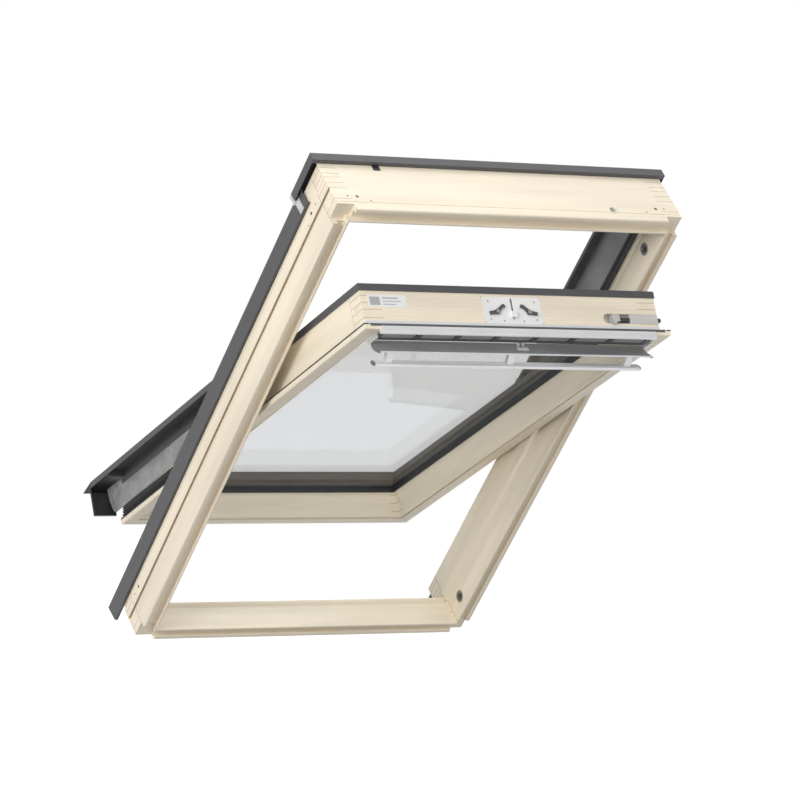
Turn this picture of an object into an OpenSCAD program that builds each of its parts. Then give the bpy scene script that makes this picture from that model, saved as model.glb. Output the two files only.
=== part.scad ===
// Centre-pivot timber roof window: frame, tilting sash, insulating glass,
// ventilation flap with control bar, claw lock and barrel bolt.
// Flat frame: x to the right seen from the room, y down the slope, z towards
// the outside, z = 0 where the frame's corners end on the room side.

/* [Frame] */
// outside width of the frame
frame_w = 780; // [620:10:1140]
// outside height of the frame along the slope
frame_h = 1178; // [960:10:1600]
// roof pitch the window stands at, in degrees
roof_pitch = 45; // [15:1:90]
// top of the frame's timber above its room-side corners
wood_top = 114.8; // [108:0.1:125]
// top of the lower rail's timber
sill_top = 53; // [50:1:56]
// reveal face, inwards from the outer face
reveal_in = 32; // [31:0.5:36]
// gasket seat, inwards from the outer face
seat_in = 38; // [37:0.5:42]
// room-side depth of the lining lips
lip = 15; // [10:1:20]
// width and length of the notch the lips leave at each corner
lip_notch = 36; // [30:1:42]
// depth of the long groove in the outer faces
groove_d = 4; // [2:0.5:6]

/* [Sash] */
// opening of the sash from closed, as it stands here, in degrees
open_angle = 24.7; // [0:0.1:157]
// turning axis above the frame's room-side corners
pivot_z = 147; // [140:1:155]
// gap all round between the reveal's width and the sash flange
flange_gap = 13.2; // [12:0.1:16]
// gap above and below the sash flange in the reveal's height
flange_gap_end = 16; // [14:0.5:24]
// room face of the closed sash
sash_z = 30; // [26:1:32]
// thickness of the sash flange
flange_t = 10; // [8:0.5:11]
// how far the flange stands beyond the sash body at the sides
flange_side = 11.8; // [10:0.2:14]
// how far the flange stands beyond the sash body at the top and bottom
flange_end = 16.4; // [14:0.2:18]
// depth of the sash timber
sash_t = 86; // [84:1:90]
// timber to glass edge line, inwards from the flange
sight_in = 47; // [45:1:52]

/* [Glass] */
// glass seat above the sash room face
seat_z = 58; // [54:1:60]
// thickness of each pane
pane_t = 4; // [4:1:5]
// gap between the panes
pane_gap = 16; // [14:1:16]
// gasket under the inner pane
bed_t = 2; // [1.5:0.5:3]
// width of the spacer bar
spacer_w = 8; // [6:1:12]

/* [Covers] */
// sheet thickness of the metal covers
sheet = 1; // [0.8:0.1:1.2]
// outer face of the side cladding beyond the timber
clad_out = 3; // [2:0.5:6]
// side cladding's lower edge
clad_z0 = 82; // [74:1:90]
// side cladding's top
clad_z1 = 121; // [118:1:124]
// side cladding's upper end, down from the top of the timber
clad_head = 71; // [60:1:80]
// side cladding beyond the lower end of the timber
clad_tail = 47; // [20:1:60]
// top casing beyond the timber at the sides
hood_side = 10; // [6:1:16]
// top casing beyond the timber at the top
hood_end = 9.5; // [6:0.5:16]
// top casing's top
hood_z1 = 132; // [128:1:136]
// length of the top casing's returns down the sides
hood_return = 104; // [80:2:140]
// outer edge of the covers, inwards from the outer face
cover_in = 18; // [17:1:22]
// length of the side plates up from the sash's lower end
plate_up = 322; // [200:2:400]
// tail of the bottom cover beyond the frame
cover_tail = 47; // [30:1:60]

/* [Ventilation flap] */
// opening of the flap from shut, as it stands here, in degrees
flap_open = 46; // [0:1:60]
// half length of the flap
flap_hw = 307; // [240:1:320]
// number of air cells in the grille
grille_cells = 7; // [4:1:12]
// width of the ribs between the cells
grille_rib = 11; // [6:1:16]
// flap turning axis, down from the flange's top edge
flap_y = 51.4; // [48:0.2:56]
// width of the flap from its axis to its free edge
flap_w = 42.5; // [38:0.5:43]
// distance of the control bar from the flap's axis
bar_out = 36; // [30:1:44]
// half length of the control bar
bar_hw = 299; // [200:1:302]

/* [Lock and bolt] */
// width of the lock casing
lock_w = 132; // [110:2:160]
// height of the lock casing
lock_h = 55; // [50:1:58]
// turn of the claws from the rest pose, in degrees
claw_turn = 0; // [0:1:30]
// radius of the barrel bolt
bolt_r = 5; // [4:0.5:6]
// left end of the bolt's slot, from the centre line
bolt_x = 206; // [180:1:220]
// free travel of the bolt
bolt_travel = 26; // [20:1:28]
// sash opening at which the bolt meets the lower bush, in degrees
clean_angle = 157; // [150:1:160]

/* [Hidden] */
$fn = 32;
fx = frame_w / 2;
fy = frame_h / 2;
flx = fx - reveal_in - flange_gap;     // sash flange half width
fly = fy - reveal_in - flange_gap_end; // sash flange half height
bx = flx - flange_side;                // sash body half width
by = fly - flange_end;                 // sash body half height
sash_top = sash_z + sash_t;            // closed sash timber top
clad_t = 13;                           // sash cladding height
cl_z = sash_top + clad_t;              // closed sash cladding top
cover_z = cl_z + 16;                   // underside of the covers' top sheet
cx = fx - cover_in;                    // covers' outer half width
run = 0.05;                            // running clearance
zf = [-20, 14.5, 44.5, 60, 75.5, 86.5, 101.5, 125]; // frame finger lines
zb = [-20, 14.5, 44.5, 125];            // finger lines of the two lower corners
zs = [-2, 13, 30, 47, 61, 75, 95];     // sash finger lines
bolt_y = -by + 6;
bolt_z = 40;
bolt_end = 116.4;                      // rod length
bolt_rod0 = bolt_x + 20;
clean_y = (bolt_y) * cos(clean_angle) - (sash_z + bolt_z - pivot_z) * sin(clean_angle);
clean_z = pivot_z + bolt_y * sin(clean_angle) + (sash_z + bolt_z - pivot_z) * cos(clean_angle);
vent_y = -487;
vent_z = 18;
glass_w = 30;                          // glass edge, inwards from the flange
gx = flx - glass_w;
gy = fly - glass_w;
flap_ax_y = -fly + flap_y;
flap_ax_z = -5;

module tilt() rotate([-roof_pitch, 0, 0]) children();
// the sash, drawn closed with its room face at z = 0
module on_sash()
    tilt() translate([0, 0, pivot_z]) rotate([open_angle, 0, 0])
        translate([0, 0, sash_z - pivot_z]) children();
module on_flap()
    on_sash() translate([0, flap_ax_y, flap_ax_z]) rotate([flap_open, 0, 0]) children();
// bar along x with its profile in y, z
module along_x(x0, x1) translate([x0, 0, 0]) rotate([90, 0, 90]) linear_extrude(x1 - x0) children();
// bar along y with its profile in x, z
module along_y(y0, y1) translate([0, y1, 0]) rotate([90, 0, 0]) linear_extrude(y1 - y0) children();
module box(a, b) translate(a) cube(b - a);
module both_x() { children(); mirror([1, 0, 0]) children(); }

// ---- frame timber ----
function room_edge() = [[0, -lip + 2], [2, -lip], [9, -lip], [11, -lip + 2], [11, -6], [27, -6],
    [27, -lip + 1], [28.5, -lip - 2], [reveal_in - 1, -lip - 2], [reveal_in, -lip - 1],
    [reveal_in, 42], [seat_in, 48]];
function side_prof() = concat([[4, wood_top], [4, 70], [0, 70], [0, 45], [groove_d, 45],
    [groove_d, 37.5], [0, 37.5]], room_edge(), [[seat_in, 70], [34, 70], [34, wood_top]]);
function top_prof() = concat([[0, wood_top], [0, 7.2], [1.4, 6.8], [1.4, 5.6], [0, 5.2]],
    room_edge(), [[seat_in, 70], [34, 70], [34, wood_top]]);
function sill_prof() = concat([[0, sill_top]], room_edge(), [[seat_in, sill_top]]);
function shift_in(p, o) = [for (q = p) [-o + q[0], q[1]]];

module side_mitre(o_x, o_y, m)
    translate([0, 0, -60]) linear_extrude(300)
        polygon([[-o_x - 1, -o_y - 1], [-o_x + m, -o_y + m], [-o_x + m, o_y - m], [-o_x - 1, o_y + 1]]);
module end_mitre(o_x, o_y, m)
    translate([0, 0, -60]) linear_extrude(300)
        polygon([[-o_x - 1, -o_y - 1], [-o_x + m, -o_y + m], [o_x - m, -o_y + m], [o_x + 1, -o_y - 1]]);

module frame_side_bar() {
    intersection() {
        along_y(-fy, fy) polygon(shift_in(side_prof(), fx));
        union() {
            side_mitre(fx, fy, 60);
            box([-fx - 1, fy - 70, sill_top], [-fx + 60, fy + 1, 200]);
        }
    }
}
module frame_ring() {
    both_x() frame_side_bar();
    intersection() { along_x(-fx, fx) polygon(shift_in(top_prof(), fy)); end_mitre(fx, fy, 60); }
    intersection() {
        mirror([0, 1, 0]) along_x(-fx, fx) polygon(shift_in(sill_prof(), fy));
        mirror([0, 1, 0]) end_mitre(fx, fy, 60);
    }
}
module lip_notches()
    for (sx = [-1, 1], sy = [-1, 1])
        difference() {
            translate([sx * (fx - lip_notch / 2), sy * (fy - lip_notch / 2), -20])
                cube([lip_notch + 2, lip_notch + 2, 40], center = true);
            translate([sx * (fx - 40), sy * (fy - 40), -20])
                cube([26, 26, 60], center = true);
        }
module layers(z, n, sx, sy, ox, oy, m)
    for (i = [n:2:len(z) - 2])
        translate([sx * (ox - m / 2 + 1), sy * (oy - m / 2 + 1), (z[i] + z[i + 1]) / 2])
            cube([m + 2, m + 2, z[i + 1] - z[i]], center = true);
module frame_rail(sy)
    intersection() {
        frame_cut();
        union() {
            translate([0, sy * (fy - seat_in / 2 + 1), sy > 0 ? sill_top - 99.5 : 60])
                cube([frame_w - 2 * seat_in, seat_in + 2, 200], center = true);
            for (sx = [-1, 1]) layers(sy > 0 ? zb : zf, 1, sx, sy, fx, fy, seat_in);
        }
    }
module frame_stile(sx)
    intersection() {
        frame_cut();
        union() {
            translate([sx * (fx - seat_in / 2 + 1), 0, 60])
                cube([seat_in + 2, frame_h - 2 * seat_in, 200], center = true);
            for (sy = [-1, 1]) layers(sy > 0 ? zb : zf, 0, sx, sy, fx, fy, seat_in);
        }
    }
module frame_cut()
    difference() {
        frame_ring();
        lip_notches();
        corner_screws(0, 12);
        lining_place() cylinder(h = 5, r = 2.2);
        cable_place() cylinder(h = 30, r = 8.5);
        bush_places() { cylinder(h = 14, r = 9.5); cylinder(h = 0.61, r = 13); }
        shut_bolt() cylinder(h = 34, r = bolt_r + 1);
        translate([0, -fy + 34 - 3, 92]) cube([121, 6.01, 41], center = true);
    }
// corner screws: their heads lie just below the timber's face
module corner_screws(d, h) {
    for (q = [[-532.5, 61.5, 2], [-509.6, 60.9, 3.6], [-487.5, 50.2, 1.8], [509.6, 60.9, 3.6],
        [532.5, 61.5, 2]])
        both_x() translate([-fx - 0.01 + d, q[0] * fy / 589, q[1]])
            rotate([0, 90, 0]) cylinder(h = h, r = q[2]);
    for (q = [[358, 23, 2], [338, 22, 3.6], [312, 11.4, 1.8]])
        both_x() translate([q[0] - 390 + fx, -fy - 0.01 + d, q[1]])
            rotate([-90, 0, 0]) cylinder(h = h, r = q[2]);
}
module lining_place() both_x() translate([-fx + 30.2, -fy + 62, 104]) rotate([0, 90, 0]) children();
module cable_place() translate([fx - 156.5, -fy - 0.01, 13]) rotate([-90, 0, 0]) children();
module bush_places() {
    translate([fx - reveal_in - 0.01, vent_y * fy / 589, vent_z]) rotate([0, 90, 0]) children();
    translate([fx - reveal_in - 0.01, clean_y, clean_z]) rotate([0, 90, 0]) children();
}

// where the thrown bolt stands while the sash is shut
module shut_bolt() translate([fx - 52, bolt_y, sash_z + bolt_z]) rotate([0, 90, 0]) children();

module frame_top_rail() color("BurlyWood") tilt() frame_rail(-1);
module frame_bottom_rail() color("BurlyWood") tilt() frame_rail(1);
module frame_left_stile() color("Wheat") tilt() frame_stile(-1);
module frame_right_stile() color("Wheat") tilt() frame_stile(1);
module frame_screws() color("DimGray") tilt() corner_screws(0.4, 11.6);
module cable_grommet()
    color("Ivory") tilt() cable_place() difference() {
        union() { cylinder(h = 22, r = 8.5); translate([0, 0, -0.8]) cylinder(h = 0.81, r = 10); }
        translate([0, 0, -2]) cylinder(h = 26, r = 7);
    }
module bolt_bushes()
    color("DarkGray") tilt() bush_places() difference() {
        union() { cylinder(h = 14, r = 9.5); translate([0, 0, -0.4]) cylinder(h = 1.01, r = 13); }
        translate([0, 0, -1]) cylinder(h = 3.5, r = 8.4);
        translate([0, 0, -1]) cylinder(h = 13, r = bolt_r + 0.6);
    }

// ---- frame gaskets ----
module gasket_upper_prof(o, tip)
    polygon(shift_in([[seat_in, 50], [seat_in, 68], [seat_in + 4, 68], [seat_in + 4, 62], [seat_in + 2, 60],
        [tip - 3, 56], [tip, 42.4], [tip - 2, 42.4], [seat_in + 3, 50]], o));
module frame_gaskets()
    color("Black") tilt() difference() {
        frame_gasket_runs();
        shut_bolt() cylinder(h = 34, r = bolt_r + 1);
    }
module frame_gasket_runs() {
    both_x() intersection() {
        along_y(-fy, -20) gasket_upper_prof(fx, 47);
        side_mitre(fx, fy, 80);
    }
    intersection() {
        along_x(-fx, fx) gasket_upper_prof(fy, 50);
        end_mitre(fx, fy, 80);
    }
}

// ---- frame covers ----
module clad_prof()
    polygon(concat(
        [[-fx + 4, clad_z0], [-fx - clad_out, clad_z0], [-fx - clad_out, clad_z1], [-cx - 2, clad_z1]],
        [[-cx - 2, wood_top], [-cx - 2 - sheet, wood_top], [-cx - 2 - sheet, clad_z1 - sheet]],
        [[-fx - clad_out + sheet, clad_z1 - sheet], [-fx - clad_out + sheet, clad_z0 + sheet]],
        [[-fx + 4, clad_z0 + sheet]]));
module frame_cladding(sx)
    color("DimGray") tilt() mirror([sx > 0 ? 1 : 0, 0, 0]) difference() {
        along_y(-fy + clad_head, fy + clad_tail) clad_prof();
        // slanting cut of the lower end
        translate([-fx - 20, fy + clad_tail - 4, clad_z0]) rotate([-6, 0, 0]) box([0, 0, -20], [60, 40, 80]);
    }
module frame_cladding_left() frame_cladding(-1);
module frame_cladding_right() frame_cladding(1);

module frame_top_casing()
    color("DimGray") tilt() {
        hx = fx + hood_side;
        hy = fy + hood_end;
        // hood over the top rail
        along_x(-hx, hx)
            polygon([[-fy, wood_top - 1.8], [-hy, wood_top - 1.8], [-hy, hood_z1], [-fy + 34, hood_z1],
                [-fy + 34, hood_z1 - sheet], [-hy + sheet, hood_z1 - sheet],
                [-hy + sheet, wood_top - 1.8 + sheet], [-fy, wood_top - 1.8 + sheet]]);
        box([-cx - 1, -fy + 34 - sheet, wood_top], [cx + 1, -fy + 34, hood_z1 - sheet]);
        // returns down the sides
        both_x() along_y(-hy, -hy + hood_return)
            polygon([[-hx, wood_top - 1.8], [-hx, hood_z1], [-cx - 1, hood_z1], [-cx - 1, clad_z1],
                [-cx - 1 - sheet, clad_z1], [-cx - 1 - sheet, hood_z1 - sheet],
                [-hx + sheet, hood_z1 - sheet], [-hx + sheet, wood_top - 1.8]]);
    }
// light straps that close the returns and hold them to the cladding
module casing_straps()
    color("Silver") tilt() both_x() {
        y0 = -fy - hood_end + hood_return;
        difference() {
            union() {
                box([-fx - hood_side, y0, wood_top - 6], [-fx - clad_out - 0.2, y0 + 8, hood_z1]);
                box([-fx - clad_out - 1.6, y0 - 8, clad_z0 + 2], [-fx - clad_out, y0 + 8, wood_top - 2]);
                box([-fx - clad_out - 0.6, y0, clad_z1], [-fx + 10, y0 + 8, clad_z1 + 1.5]);
                box([-fx - clad_out - 1.6, y0, wood_top - 4], [-fx - clad_out, y0 + 8, clad_z1 + 1.5]);
            }
            translate([-fx - 20, y0 + 4, clad_z0 + 10]) rotate([0, 90, 0]) cylinder(h = 30, r = 1.6);
        }
    }
module casing_clips()
    color("Black") tilt()
        translate([-263, 0, 0]) box([-7, -fy - 2, 100], [7, -fy, wood_top - 1.8]);

module upper_cover(sx)
    color("DimGray") tilt() mirror([sx > 0 ? 1 : 0, 0, 0])
        along_y(-fy + 34.2, -12)
            polygon([[-cx, wood_top], [-cx, cover_z + sheet], [-bx + 4, cover_z + sheet],
                [-bx + 4, cover_z - 6], [-bx + 4 - sheet, cover_z - 6], [-bx + 4 - sheet, cover_z],
                [-cx + sheet, cover_z], [-cx + sheet, wood_top]]);
module upper_cover_left() upper_cover(-1);
module upper_cover_right() upper_cover(1);

// lining sheets between the timber and the covers, upper half
module side_linings()
    color("Gray") tilt() difference() {
        both_x() along_y(-fy + 34.2, -60)
            polygon([[-fx + 34, 70.2], [-fx + 35.2, 70.2], [-fx + 35.2, cover_z], [-fx + 26, cover_z],
                [-fx + 26, cover_z - 1], [-fx + 34, cover_z - 1]]);
        both_x() translate([-fx + 30, -fy + 62, 104]) rotate([0, 90, 0]) cylinder(h = 8, r = 2.2);
        shut_bolt() cylinder(h = 34, r = bolt_r + 1);
    }
module lining_screws()
    color("Gainsboro") tilt() lining_place() {
        cylinder(h = 5, r = 2.2);
        translate([0, 0, 5]) cylinder(h = 2.4, r = 4);
    }

module frame_bottom_cover()
    color("DimGray") tilt()
        along_x(-fx + 4.2 + 34, fx - 4.2 - 34)
            polygon([[fy - 36, sill_top], [fy - 36, sill_top + sheet], [fy + sheet, sill_top + sheet],
                [fy + sheet, sill_top - 26], [fy, sill_top - 26], [fy, sill_top]]);

// ---- hinges ----
module frame_hinges()
    color("Silver") tilt() both_x() {
        translate([-fx + 34, 0, 0]) {
            box([0, -50, 72], [3, 50, 112]);
            hull() {
                box([0, -22, 110], [3, 22, 112]);
                translate([0, 0, pivot_z]) rotate([0, 90, 0]) cylinder(h = 3, r = 10);
            }
            translate([0, 0, pivot_z]) rotate([0, 90, 0]) cylinder(h = 20, r = 6);
        }
        for (y = [-38, 38], z = [80, 102])
            translate([-fx + 37, y, z]) rotate([0, 90, 0]) cylinder(h = 1.2, r = 4);
    }
module sash_hinges()
    color("Gray") on_sash() both_x() {
        pz = pivot_z - sash_z;
        difference() {
            union() {
                box([-bx - 4, -44, 30], [-bx, 44, 84]);
                hull() {
                    box([-bx - 4, -16, 82], [-bx - 2.2, 16, 84]);
                    translate([-bx - 4, 0, pz]) rotate([0, 90, 0]) cylinder(h = 1.8, r = 9.5);
                }
                translate([-bx - 8, 0, pz]) rotate([0, 90, 0]) cylinder(h = 5.8, r = 9.5);
            }
            translate([-bx - 20, 0, pz]) rotate([0, 90, 0]) cylinder(h = 30, r = 6 + run);
        }
    }

// lock keeper on the top rail
module lock_keeper()
    color("Silver") tilt() {
        box([-60, -fy + 34 - 6, 72], [60, -fy + 34 + 1.5, 112]);
        for (x = [-34, 34])
            translate([x, -fy + 35, 98]) rotate([-90, 0, 0]) { cylinder(h = 14, r = 3); cylinder(h = 3, r = 6); }
    }

// ---- sash timber ----
function sash_prof(o) = [[0, 1.5], [1.5, 0], [26, 0], [26, 4], [29.5, 4], [29.5, 2.5], [31, 1], [33, 1],
    [34.5, 2.5], [sight_in, seat_z - 2], [sight_in, seat_z], [28, seat_z], [28, sash_t], [o, sash_t],
    [o, flange_t], [0, flange_t]];
module sash_ring() {
    both_x() intersection() {
        along_y(-fly, fly) polygon(shift_in(sash_prof(flange_side), flx));
        side_mitre(flx, fly, 70);
    }
    for (s = [0, 1]) mirror([0, s, 0]) intersection() {
        along_x(-flx, flx) polygon(shift_in(sash_prof(flange_end), fly));
        end_mitre(flx, fly, 70);
    }
}
module sash_cut()
    difference() {
        sash_ring();
        // the body's ends are square above the flange
        for (s = [0, 1]) mirror([0, s, 0])
            box([-flx - 1, -fly - 1, flange_t], [flx + 1, -by, sash_t + 1]);
        // casing pocket and bolt slot
        box([-lock_w / 2 - 0.2, -by - 1, 24 - 0.2], [lock_w / 2 + 0.2, -by + 10, 24 + lock_h + 0.2]);
        bolt_slot(-by - 1, -by + 12.2);
    }
module bolt_slot(y0, y1)
    translate([0, y1, 0]) rotate([90, 0, 0]) linear_extrude(y1 - y0) {
        translate([bolt_x + 10, bolt_z]) circle(r = 10);
        translate([bolt_x + 10, bolt_z - 10]) square([bx + 5 - bolt_x - 10, 20]);
    }
module sash_rail(sy)
    intersection() {
        sash_cut();
        union() {
            translate([0, sy * (fly - sight_in / 2 + 1), 40])
                cube([2 * (flx - sight_in), sight_in + 2, 200], center = true);
            for (sx = [-1, 1]) layers(zs, 1, sx, sy, flx, fly, sight_in);
        }
    }
module sash_stile(sx)
    intersection() {
        sash_cut();
        union() {
            translate([sx * (flx - sight_in / 2 + 1), 0, 40])
                cube([sight_in + 2, 2 * (fly - sight_in), 200], center = true);
            for (sy = [-1, 1]) layers(zs, 0, sx, sy, flx, fly, sight_in);
        }
    }
module sash_top_rail() color("BurlyWood") on_sash() sash_rail(-1);
module sash_bottom_rail() color("BurlyWood") on_sash() sash_rail(1);
module sash_left_stile() color("Wheat") on_sash() sash_stile(-1);
module sash_right_stile() color("Wheat") on_sash() sash_stile(1);

// ---- glass unit ----
g0 = seat_z + bed_t;
g1 = g0 + pane_t;
g2 = g1 + pane_gap;
g3 = g2 + pane_t;
module ring(hx, hy, w, z0, z1)
    difference() {
        box([-hx, -hy, z0], [hx, hy, z1]);
        box([-hx + w, -hy + w, z0 - 1], [hx - w, hy - w, z1 + 1]);
    }
module inner_pane() color([0.8, 0.87, 0.9, 0.4]) on_sash() box([-gx, -gy, g0], [gx, gy, g1]);
module outer_pane() color([0.8, 0.87, 0.9, 0.4]) on_sash() box([-gx, -gy, g2], [gx, gy, g3]);
module spacer_bar() color("Silver") on_sash() ring(gx - 4, gy - 4, spacer_w, g1, g2);
module edge_seal() color("Black") on_sash() ring(gx, gy, 4, g1, g2);
module glazing_gaskets()
    color("Black") on_sash() {
        ring(gx, gy, sight_in - glass_w, seat_z, g0);
        ring(flx - sight_in, fly - sight_in, 3, g0 - 7, g0);
        ring(gx, gy, 10, g3, g3 + 3);
    }

// ---- sash gaskets ----
module sash_gaskets()
    color("Black") on_sash() {
        both_x() box([-flx - 1.5, -fly - 1, flange_t], [-bx - 5, -60, flange_t + 1.8]);
        both_x() box([-bx - 6, -fly + 6, flange_t], [-bx, -60, flange_t + 5]);
        both_x() along_y(60, fly)
            polygon([[-flx + 0.2, flange_t], [-bx, flange_t], [-bx, 39.7], [-bx - 3.5, 38.9],
                [-bx - 1.5, 36.6], [-bx - 4, 34], [-bx - 1.5, 31],
                [-bx - 6, 28], [-bx - 2, 25], [-bx - 7, 21], [-bx - 3, 18], [-flx + 2, 15]]);
    }

// ---- sash cladding ----
function cap_prof(o) = [[o - 2, sash_t - 1], [o - 2, sash_t + clad_t], [46, sash_t + clad_t],
    [46, g3 + 3], [46 - sheet, g3 + 3], [46 - sheet, sash_t + clad_t - sheet],
    [o + 4, sash_t + clad_t - sheet], [o + 4, sash_t], [o, sash_t], [o, sash_t - 1]];
module cap_side(sx)
    color("DimGray") on_sash() mirror([sx > 0 ? 1 : 0, 0, 0]) intersection() {
        along_y(-fly, fly) polygon(shift_in(cap_prof(flange_side), flx));
        side_mitre_off();
    }
// mitre planes through the sash body's corners
module side_mitre_off()
    translate([0, 0, -60]) linear_extrude(300)
        polygon([[-bx - 2, -by - 2], [-bx + 60, -by + 60], [-bx + 60, by - 60], [-bx - 2, by + 2]]);
module end_mitre_off()
    translate([0, 0, -60]) linear_extrude(300)
        polygon([[-bx - 2, -by - 2], [-bx + 60, -by + 60], [bx - 60, -by + 60], [bx + 2, -by - 2]]);
module cap_end(sy)
    color("DimGray") on_sash() mirror([0, sy > 0 ? 1 : 0, 0]) intersection() {
        along_x(-flx, flx) polygon(shift_in(cap_prof(flange_end), fly));
        end_mitre_off();
    }
module sash_cap_left() cap_side(-1);
module sash_cap_right() cap_side(1);
module sash_cap_top() cap_end(-1);
module sash_cap_bottom() cap_end(1);

// ---- covers of the sash's lower half ----
lc = cl_z - sash_z;  // cladding top in the sash's frame
lt = lc + 15;        // underside of the covers' top sheet
module lower_cover(sx)
    color("DimGray") on_sash() mirror([sx > 0 ? 1 : 0, 0, 0]) difference() {
        along_y(12, fy + 11)
            polygon([[-bx + 3, lc], [-bx + 3, lt + sheet], [-cx, lt + sheet], [-cx, lt - 11],
                [-cx + sheet, lt - 11], [-cx + sheet, lt], [-bx + 3 - sheet, lt], [-bx + 3 - sheet, lc]]);
        box([-bx + 1, by - 5.2, lc - 1], [-bx + 4, fy + 12, lt]);
    }
module lower_cover_left() lower_cover(-1);
module lower_cover_right() lower_cover(1);
module bottom_cover()
    color("DimGray") on_sash()
        along_x(-cx + sheet + 0.1, cx - sheet - 0.1)
            polygon([[by - 5, lc], [by - 5, lt], [fy + 11, lt], [fy + cover_tail, lt - 9],
                [fy + cover_tail, lt - 10.5], [fy + 18, lt - 21], [fy + 17, lt - 20],
                [fy + cover_tail - 3.5, lt - 10], [fy + 11, lt - sheet], [by - 5 + sheet, lt - sheet],
                [by - 5 + sheet, lc]]);
module cover_ends()
    color("Black") on_sash() both_x() {
        // closes the tail of the bottom cover
        along_x(-cx, -cx + sheet)
            polygon([[fy + 11.1, lt], [fy + cover_tail, lt - 9], [fy + cover_tail, lt - 10.5],
                [fy + 17, lt - 21], [fy + 17, 42], [fy + 11.1, 42]]);
        box([-cx, fy + 11.1, 42], [-bx + 12, fy + 17, lt - 22]);
    }

// galvanised plates on the sash's sides, lower half
module side_plate(sx)
    color("Silver") on_sash() mirror([sx > 0 ? 1 : 0, 0, 0]) difference() {
        along_x(-bx - 2, -bx)
            polygon([[by - plate_up, sash_t - 1.1], [by - plate_up + 91, 43.5], [fy - 14, 40],
                [fy - 5, 46], [fy + 5, 70], [fy + 10, 96], [fy + 10, lc - 0.1], [by + 3, lc - 0.1],
                [by + 3, sash_t - 1.1]]);
        for (q = [[by - 223.4, 78], [by - 30, 74], [fy - 9, 63]])
            translate([-bx - 3, q[0], q[1]]) rotate([0, 90, 0]) {
                for (d = [-5, 5]) translate([d, 0, 0]) cylinder(h = 4, r = 2.6);
                translate([-5, -2.6, 0]) cube([10, 5.2, 4]);
            }
    }
module side_plate_left() side_plate(-1);
module side_plate_right() side_plate(1);

// ---- lock ----
lz = 24 + lock_h / 2;
module lock_casing()
    color("WhiteSmoke") on_sash() difference() {
        translate([0, -by + 10, lz]) rotate([90, 0, 0]) linear_extrude(10.4)
            rounded(lock_w, lock_h, 5);
        box([-lock_w / 2 + 1.5, -by + 1.2, 25.5], [lock_w / 2 - 1.5, -by + 8.5, 22.5 + lock_h]);
        box([-2.2, -by - 2, 33], [2.2, -by + 4, 76]);
        for (q = [[-52, 70], [-52, 33], [52, 70], [52, 33], [-22, 30], [22, 30]])
            translate([q[0], -by - 2, q[1]]) rotate([-90, 0, 0]) cylinder(h = 14, r = 1.7);
        for (x = [-36, 36]) translate([x, -by - 2, 48]) rotate([-90, 0, 0]) cylinder(h = 4, r = 2.5);
    }
module rounded(w, h, r)
    union() {
        square([w - 2 * r, h], center = true);
        square([w, h - 2 * r], center = true);
        for (a = [-1, 1], b = [-1, 1]) translate([a * (w / 2 - r), b * (h / 2 - r)]) circle(r = r);
    }
module lock_rivets()
    color("Silver") on_sash() for (x = [-36, 36])
        translate([x, -by - 5.2, 48]) rotate([-90, 0, 0]) { cylinder(h = 5.99, r = 2.5); cylinder(h = 1, r = 4); }
module claw_body()
    difference() {
        union() {
            cylinder(h = 3, r = 5.5);
            linear_extrude(3) polygon([[-2, -4.8], [-17, -6.5], [-18, 0], [-15, 0.5], [-3, 3]]);
            linear_extrude(3) polygon([[-2.6, 2.8], [12, 14.5], [17, 15.5], [19, 9], [14, 8.5], [3, -2.8]]);
        }
        translate([0, 0, -1]) cylinder(h = 5, r = 2.5 + run);
    }
module claw(sx)
    color("DimGray") on_sash() mirror([sx > 0 ? 1 : 0, 0, 0])
        translate([-36, -by - 0.9, 48]) rotate([90, claw_turn, 0]) claw_body();
module claw_left() claw(-1);
module claw_right() claw(1);
module lock_slider()
    color("White") on_sash() {
        box([-1.9, -by - 0.8, 38], [1.9, -by + 5, 48]);
        box([-6, -by - 5, 37], [6, -by - 0.8, 49]);
        box([-8, -by + 1.6, 36], [8, -by + 5, 50]);
    }
// ---- barrel bolt ----
module bolt_housing()
    color("Silver") on_sash() difference() {
        union() {
            translate([0, -by + 12, 0]) rotate([90, 0, 0]) linear_extrude(1) {
                translate([bolt_x + 10, bolt_z]) circle(r = 9.6);
                translate([bolt_x + 10, bolt_z - 9.6]) square([bx - bolt_x - 10, 19.2]);
            }
            box([bolt_x + 62, -by + 0.2, bolt_z - 9.6], [bx, -by + 11.5, bolt_z + 9.6]);
        }
        translate([bolt_x, bolt_y, bolt_z]) rotate([0, 90, 0]) cylinder(h = 200, r = bolt_r + run);
    }
module bolt()
    color("LightGray") on_sash() difference() {
        union() {
            translate([bolt_rod0, bolt_y, bolt_z]) rotate([0, 90, 0]) cylinder(h = bolt_end - 2, r = bolt_r);
            translate([bolt_rod0 + bolt_end - 2, bolt_y, bolt_z]) rotate([0, 90, 0])
                cylinder(h = 2, r1 = bolt_r, r2 = bolt_r - 1.5);
            box([bolt_x + 18, -by - 5, bolt_z - 7], [bolt_x + 35, -by + 8, bolt_z + 7]);
            box([bolt_x + 18, -by - 6.5, bolt_z - 12], [bolt_x + 26, -by - 0.6, bolt_z - 5]);
        }
    }

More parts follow.
